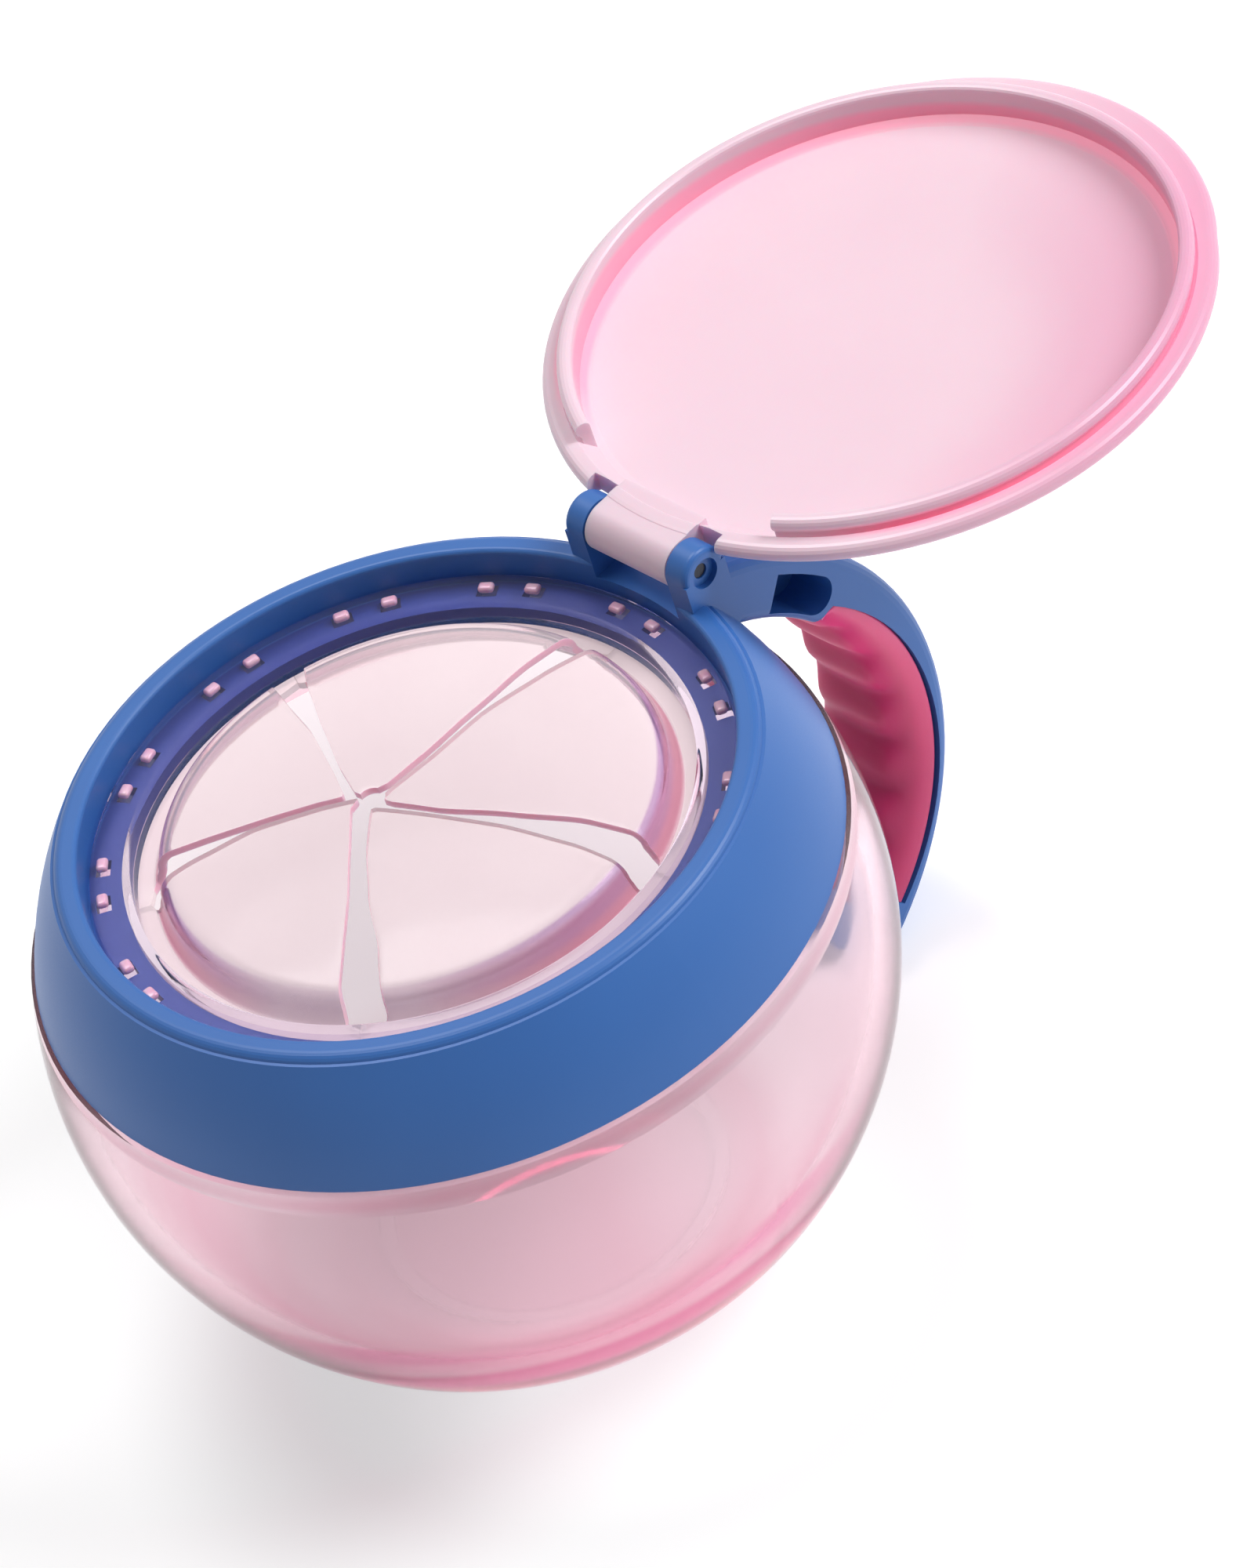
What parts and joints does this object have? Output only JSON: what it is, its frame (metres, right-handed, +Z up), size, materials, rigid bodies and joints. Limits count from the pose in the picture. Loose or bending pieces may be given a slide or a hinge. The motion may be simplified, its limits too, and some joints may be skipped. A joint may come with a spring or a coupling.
{
  "type": "toddler snack container",
  "caption": "Toddler snack cup with a clear globe bowl, a twist-on collar with a soft slit mouth, a flip lid on a pin and a curved handle with a soft grip.",
  "frame": {"origin": "centre of the base, in the plane that the container stands on", "axes": "+Z up, +Y towards the hinge and the handle, +X to the right as seen with the handle behind"},
  "size_m": [0.1, 0.1737, 0.0807],
  "materials": {
    "clear_pink": "clear tinted plastic, polished",
    "blue": "satin moulded plastic",
    "lid_pink": "soft-gloss moulded plastic",
    "grip": "satin soft plastic",
    "soft_pink": "clear soft elastomer, glossy",
    "pin": "drawn wire"
  },
  "bodies": {
    "bowl": {"bowl": "clear_pink"},
    "collar": {"collar": "blue", "handle_grip": "grip", "flap_ring": "soft_pink", "hinge_pin": "pin"},
    "lid": {"lid": "lid_pink"},
    "petal_1": {"flap_petal_1": "soft_pink"},
    "petal_2": {"flap_petal_2": "soft_pink"},
    "petal_3": {"flap_petal_3": "soft_pink"},
    "petal_4": {"flap_petal_4": "soft_pink"},
    "petal_5": {"flap_petal_5": "soft_pink"}
  },
  "joints": [
    {"name": "collar_twist", "type": "hinge", "parent": "bowl", "child": "collar", "pos_m": [0, 0, 0.0587], "axis": [0, 0, 1], "range_deg": [0, 45]},
    {"name": "lid_hinge", "type": "hinge", "parent": "collar", "child": "lid", "pos_m": [0, 0.04091, 0.07365], "axis": [1, 0, 0], "range_deg": [0, 178.8]},
    {"name": "petal_1_flex", "type": "hinge", "parent": "collar", "child": "petal_1", "pos_m": [-0.01846, 0.02541, 0.0626], "axis": [0.809, 0.5878, 0], "range_deg": [-15, 60], "stiffness_Nm_per_rad": 0.01},
    {"name": "petal_2_flex", "type": "hinge", "parent": "collar", "child": "petal_2", "pos_m": [-0.02987, -0.00971, 0.0626], "axis": [-0.309, 0.9511, 0], "range_deg": [-15, 60], "stiffness_Nm_per_rad": 0.01},
    {"name": "petal_3_flex", "type": "hinge", "parent": "collar", "child": "petal_3", "pos_m": [0, -0.03141, 0.0626], "axis": [-1, 0, 0], "range_deg": [-15, 60], "stiffness_Nm_per_rad": 0.01},
    {"name": "petal_4_flex", "type": "hinge", "parent": "collar", "child": "petal_4", "pos_m": [0.02987, -0.00971, 0.0626], "axis": [-0.309, -0.9511, 0], "range_deg": [-15, 60], "stiffness_Nm_per_rad": 0.01},
    {"name": "petal_5_flex", "type": "hinge", "parent": "collar", "child": "petal_5", "pos_m": [0.01846, 0.02541, 0.0626], "axis": [0.809, -0.5878, 0], "range_deg": [-15, 60], "stiffness_Nm_per_rad": 0.01}
  ]
}
